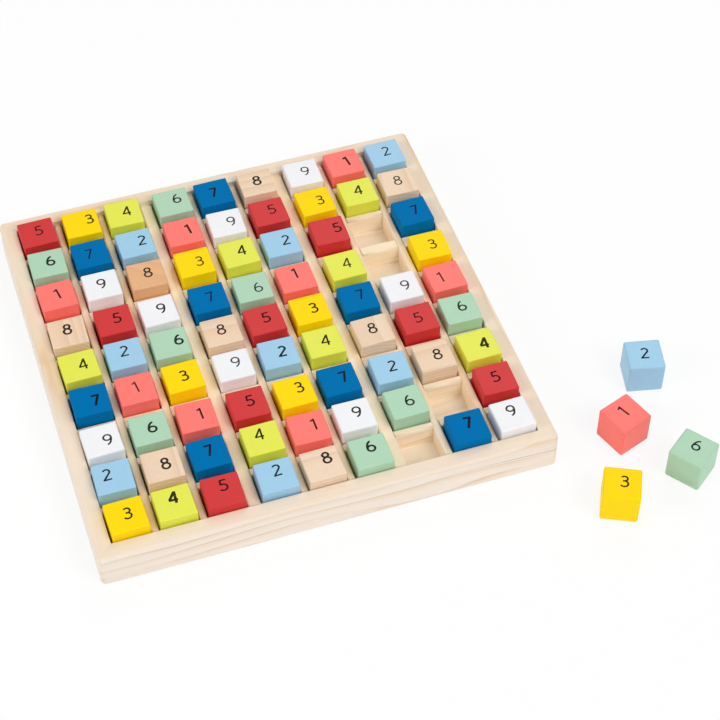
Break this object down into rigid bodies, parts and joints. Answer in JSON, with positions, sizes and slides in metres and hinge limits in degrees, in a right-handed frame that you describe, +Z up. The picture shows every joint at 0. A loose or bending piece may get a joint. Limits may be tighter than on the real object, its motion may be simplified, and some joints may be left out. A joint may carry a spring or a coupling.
{
  "type": "sudoku board",
  "caption": "Square wooden tray with a grid of divider slats whose cells hold painted number cubes that lift out, for playing sudoku.",
  "frame": {"origin": "middle of the tray's footprint, on the table that it stands on", "axes": "+Z up out of the cells, +X to the right along a row of cells, +Y from the front rail to the back rail"},
  "size_m": [0.328, 0.298, 0.0275],
  "materials": {
    "pine_rail": "sanded bare pine with long grain",
    "pine_slat": "planed bare pine with fine straight grain",
    "base_plywood": "sanded thin plywood",
    "coral_paint": "satin water-based paint on wood",
    "sky_blue_paint": "satin water-based paint on wood",
    "yellow_paint": "satin water-based paint on wood",
    "lime_paint": "satin water-based paint on wood",
    "red_paint": "satin water-based paint on wood",
    "sage_paint": "satin water-based paint on wood",
    "blue_paint": "satin water-based paint on wood",
    "bare_beech": "sanded bare beech",
    "white_paint": "satin water-based paint on wood"
  },
  "bodies": {
    "tray": {"front_rail": "pine_rail", "back_rail": "pine_rail", "left_rail": "pine_rail", "right_rail": "pine_rail", "base_panel": "base_plywood", "divider_slats": "pine_slat"},
    "cube_set_1": {"cube_set_1": "coral_paint"},
    "cube_set_2": {"cube_set_2": "sky_blue_paint"},
    "cube_set_3": {"cube_set_3": "yellow_paint"},
    "cube_set_4": {"cube_set_4": "lime_paint"},
    "cube_set_5": {"cube_set_5": "red_paint"},
    "cube_set_6": {"cube_set_6": "sage_paint"},
    "cube_set_7": {"cube_set_7": "blue_paint"},
    "cube_set_8": {"cube_set_8": "bare_beech"},
    "cube_set_9": {"cube_set_9": "white_paint"},
    "cube_row1_col7": {"cube_row1_col7": "white_paint"},
    "cube_row1_col8": {"cube_row1_col8": "coral_paint"},
    "cube_row1_col9": {"cube_row1_col9": "sky_blue_paint"},
    "cube_row2_col7": {"cube_row2_col7": "yellow_paint"},
    "cube_row2_col8": {"cube_row2_col8": "lime_paint"},
    "cube_row2_col9": {"cube_row2_col9": "bare_beech"},
    "cube_row3_col7": {"cube_row3_col7": "red_paint"},
    "cube_row3_col9": {"cube_row3_col9": "blue_paint"},
    "cube_row4_col4": {"cube_row4_col4": "blue_paint"},
    "cube_row4_col5": {"cube_row4_col5": "sage_paint"},
    "cube_row4_col6": {"cube_row4_col6": "coral_paint"},
    "cube_row4_col7": {"cube_row4_col7": "lime_paint"},
    "cube_row4_col9": {"cube_row4_col9": "yellow_paint"},
    "cube_row5_col4": {"cube_row5_col4": "bare_beech"},
    "cube_row5_col5": {"cube_row5_col5": "red_paint"},
    "cube_row5_col6": {"cube_row5_col6": "yellow_paint"},
    "cube_row5_col7": {"cube_row5_col7": "blue_paint"},
    "cube_row5_col8": {"cube_row5_col8": "white_paint"},
    "cube_row5_col9": {"cube_row5_col9": "coral_paint"},
    "cube_row6_col4": {"cube_row6_col4": "white_paint"},
    "cube_row6_col5": {"cube_row6_col5": "sky_blue_paint"},
    "cube_row6_col6": {"cube_row6_col6": "lime_paint"},
    "cube_row6_col7": {"cube_row6_col7": "bare_beech"},
    "cube_row6_col8": {"cube_row6_col8": "red_paint"},
    "cube_row6_col9": {"cube_row6_col9": "sage_paint"},
    "cube_row7_col4": {"cube_row7_col4": "red_paint"},
    "cube_row7_col5": {"cube_row7_col5": "yellow_paint"},
    "cube_row7_col6": {"cube_row7_col6": "blue_paint"},
    "cube_row7_col7": {"cube_row7_col7": "sky_blue_paint"},
    "cube_row7_col8": {"cube_row7_col8": "bare_beech"},
    "cube_row7_col9": {"cube_row7_col9": "lime_paint"},
    "cube_row8_col4": {"cube_row8_col4": "lime_paint"},
    "cube_row8_col5": {"cube_row8_col5": "coral_paint"},
    "cube_row8_col6": {"cube_row8_col6": "white_paint"},
    "cube_row8_col7": {"cube_row8_col7": "sage_paint"},
    "cube_row8_col9": {"cube_row8_col9": "red_paint"},
    "cube_row9_col4": {"cube_row9_col4": "sky_blue_paint"},
    "cube_row9_col5": {"cube_row9_col5": "bare_beech"},
    "cube_row9_col6": {"cube_row9_col6": "sage_paint"},
    "cube_row9_col8": {"cube_row9_col8": "blue_paint"},
    "cube_row9_col9": {"cube_row9_col9": "white_paint"},
    "loose_cube_2": {"loose_cube_2": "sky_blue_paint"},
    "loose_cube_1": {"loose_cube_1": "coral_paint"},
    "loose_cube_6": {"loose_cube_6": "sage_paint"},
    "loose_cube_3": {"loose_cube_3": "yellow_paint"}
  },
  "joints": [
    {"name": "lift_set_1", "type": "slide", "parent": "tray", "child": "cube_set_1", "axis": [0, 0, 1], "range_m": [0, 0.04]},
    {"name": "lift_set_2", "type": "slide", "parent": "tray", "child": "cube_set_2", "axis": [0, 0, 1], "range_m": [0, 0.04]},
    {"name": "lift_set_3", "type": "slide", "parent": "tray", "child": "cube_set_3", "axis": [0, 0, 1], "range_m": [0, 0.04]},
    {"name": "lift_set_4", "type": "slide", "parent": "tray", "child": "cube_set_4", "axis": [0, 0, 1], "range_m": [0, 0.04]},
    {"name": "lift_set_5", "type": "slide", "parent": "tray", "child": "cube_set_5", "axis": [0, 0, 1], "range_m": [0, 0.04]},
    {"name": "lift_set_6", "type": "slide", "parent": "tray", "child": "cube_set_6", "axis": [0, 0, 1], "range_m": [0, 0.04]},
    {"name": "lift_set_7", "type": "slide", "parent": "tray", "child": "cube_set_7", "axis": [0, 0, 1], "range_m": [0, 0.04]},
    {"name": "lift_set_8", "type": "slide", "parent": "tray", "child": "cube_set_8", "axis": [0, 0, 1], "range_m": [0, 0.04]},
    {"name": "lift_set_9", "type": "slide", "parent": "tray", "child": "cube_set_9", "axis": [0, 0, 1], "range_m": [0, 0.04]},
    {"name": "lift_row1_col7", "type": "slide", "parent": "tray", "child": "cube_row1_col7", "axis": [0, 0, 1], "range_m": [0, 0.04]},
    {"name": "lift_row1_col8", "type": "slide", "parent": "tray", "child": "cube_row1_col8", "axis": [0, 0, 1], "range_m": [0, 0.04]},
    {"name": "lift_row1_col9", "type": "slide", "parent": "tray", "child": "cube_row1_col9", "axis": [0, 0, 1], "range_m": [0, 0.04]},
    {"name": "lift_row2_col7", "type": "slide", "parent": "tray", "child": "cube_row2_col7", "axis": [0, 0, 1], "range_m": [0, 0.04]},
    {"name": "lift_row2_col8", "type": "slide", "parent": "tray", "child": "cube_row2_col8", "axis": [0, 0, 1], "range_m": [0, 0.04]},
    {"name": "lift_row2_col9", "type": "slide", "parent": "tray", "child": "cube_row2_col9", "axis": [0, 0, 1], "range_m": [0, 0.04]},
    {"name": "lift_row3_col7", "type": "slide", "parent": "tray", "child": "cube_row3_col7", "axis": [0, 0, 1], "range_m": [0, 0.04]},
    {"name": "lift_row3_col9", "type": "slide", "parent": "tray", "child": "cube_row3_col9", "axis": [0, 0, 1], "range_m": [0, 0.04]},
    {"name": "lift_row4_col4", "type": "slide", "parent": "tray", "child": "cube_row4_col4", "axis": [0, 0, 1], "range_m": [0, 0.04]},
    {"name": "lift_row4_col5", "type": "slide", "parent": "tray", "child": "cube_row4_col5", "axis": [0, 0, 1], "range_m": [0, 0.04]},
    {"name": "lift_row4_col6", "type": "slide", "parent": "tray", "child": "cube_row4_col6", "axis": [0, 0, 1], "range_m": [0, 0.04]},
    {"name": "lift_row4_col7", "type": "slide", "parent": "tray", "child": "cube_row4_col7", "axis": [0, 0, 1], "range_m": [0, 0.04]},
    {"name": "lift_row4_col9", "type": "slide", "parent": "tray", "child": "cube_row4_col9", "axis": [0, 0, 1], "range_m": [0, 0.04]},
    {"name": "lift_row5_col4", "type": "slide", "parent": "tray", "child": "cube_row5_col4", "axis": [0, 0, 1], "range_m": [0, 0.04]},
    {"name": "lift_row5_col5", "type": "slide", "parent": "tray", "child": "cube_row5_col5", "axis": [0, 0, 1], "range_m": [0, 0.04]},
    {"name": "lift_row5_col6", "type": "slide", "parent": "tray", "child": "cube_row5_col6", "axis": [0, 0, 1], "range_m": [0, 0.04]},
    {"name": "lift_row5_col7", "type": "slide", "parent": "tray", "child": "cube_row5_col7", "axis": [0, 0, 1], "range_m": [0, 0.04]},
    {"name": "lift_row5_col8", "type": "slide", "parent": "tray", "child": "cube_row5_col8", "axis": [0, 0, 1], "range_m": [0, 0.04]},
    {"name": "lift_row5_col9", "type": "slide", "parent": "tray", "child": "cube_row5_col9", "axis": [0, 0, 1], "range_m": [0, 0.04]},
    {"name": "lift_row6_col4", "type": "slide", "parent": "tray", "child": "cube_row6_col4", "axis": [0, 0, 1], "range_m": [0, 0.04]},
    {"name": "lift_row6_col5", "type": "slide", "parent": "tray", "child": "cube_row6_col5", "axis": [0, 0, 1], "range_m": [0, 0.04]},
    {"name": "lift_row6_col6", "type": "slide", "parent": "tray", "child": "cube_row6_col6", "axis": [0, 0, 1], "range_m": [0, 0.04]},
    {"name": "lift_row6_col7", "type": "slide", "parent": "tray", "child": "cube_row6_col7", "axis": [0, 0, 1], "range_m": [0, 0.04]},
    {"name": "lift_row6_col8", "type": "slide", "parent": "tray", "child": "cube_row6_col8", "axis": [0, 0, 1], "range_m": [0, 0.04]},
    {"name": "lift_row6_col9", "type": "slide", "parent": "tray", "child": "cube_row6_col9", "axis": [0, 0, 1], "range_m": [0, 0.04]},
    {"name": "lift_row7_col4", "type": "slide", "parent": "tray", "child": "cube_row7_col4", "axis": [0, 0, 1], "range_m": [0, 0.04]},
    {"name": "lift_row7_col5", "type": "slide", "parent": "tray", "child": "cube_row7_col5", "axis": [0, 0, 1], "range_m": [0, 0.04]},
    {"name": "lift_row7_col6", "type": "slide", "parent": "tray", "child": "cube_row7_col6", "axis": [0, 0, 1], "range_m": [0, 0.04]},
    {"name": "lift_row7_col7", "type": "slide", "parent": "tray", "child": "cube_row7_col7", "axis": [0, 0, 1], "range_m": [0, 0.04]},
    {"name": "lift_row7_col8", "type": "slide", "parent": "tray", "child": "cube_row7_col8", "axis": [0, 0, 1], "range_m": [0, 0.04]},
    {"name": "lift_row7_col9", "type": "slide", "parent": "tray", "child": "cube_row7_col9", "axis": [0, 0, 1], "range_m": [0, 0.04]},
    {"name": "lift_row8_col4", "type": "slide", "parent": "tray", "child": "cube_row8_col4", "axis": [0, 0, 1], "range_m": [0, 0.04]},
    {"name": "lift_row8_col5", "type": "slide", "parent": "tray", "child": "cube_row8_col5", "axis": [0, 0, 1], "range_m": [0, 0.04]},
    {"name": "lift_row8_col6", "type": "slide", "parent": "tray", "child": "cube_row8_col6", "axis": [0, 0, 1], "range_m": [0, 0.04]},
    {"name": "lift_row8_col7", "type": "slide", "parent": "tray", "child": "cube_row8_col7", "axis": [0, 0, 1], "range_m": [0, 0.04]},
    {"name": "lift_row8_col9", "type": "slide", "parent": "tray", "child": "cube_row8_col9", "axis": [0, 0, 1], "range_m": [0, 0.04]},
    {"name": "lift_row9_col4", "type": "slide", "parent": "tray", "child": "cube_row9_col4", "axis": [0, 0, 1], "range_m": [0, 0.04]},
    {"name": "lift_row9_col5", "type": "slide", "parent": "tray", "child": "cube_row9_col5", "axis": [0, 0, 1], "range_m": [0, 0.04]},
    {"name": "lift_row9_col6", "type": "slide", "parent": "tray", "child": "cube_row9_col6", "axis": [0, 0, 1], "range_m": [0, 0.04]},
    {"name": "lift_row9_col8", "type": "slide", "parent": "tray", "child": "cube_row9_col8", "axis": [0, 0, 1], "range_m": [0, 0.04]},
    {"name": "lift_row9_col9", "type": "slide", "parent": "tray", "child": "cube_row9_col9", "axis": [0, 0, 1], "range_m": [0, 0.04]},
    {"name": "lift_loose_2", "type": "slide", "parent": "tray", "child": "loose_cube_2", "axis": [0, 0, 1], "range_m": [0, 0.04]},
    {"name": "lift_loose_1", "type": "slide", "parent": "tray", "child": "loose_cube_1", "axis": [0, 0, 1], "range_m": [0, 0.04]},
    {"name": "lift_loose_6", "type": "slide", "parent": "tray", "child": "loose_cube_6", "axis": [0, 0, 1], "range_m": [0, 0.04]},
    {"name": "lift_loose_3", "type": "slide", "parent": "tray", "child": "loose_cube_3", "axis": [0, 0, 1], "range_m": [0, 0.04]}
  ]
}
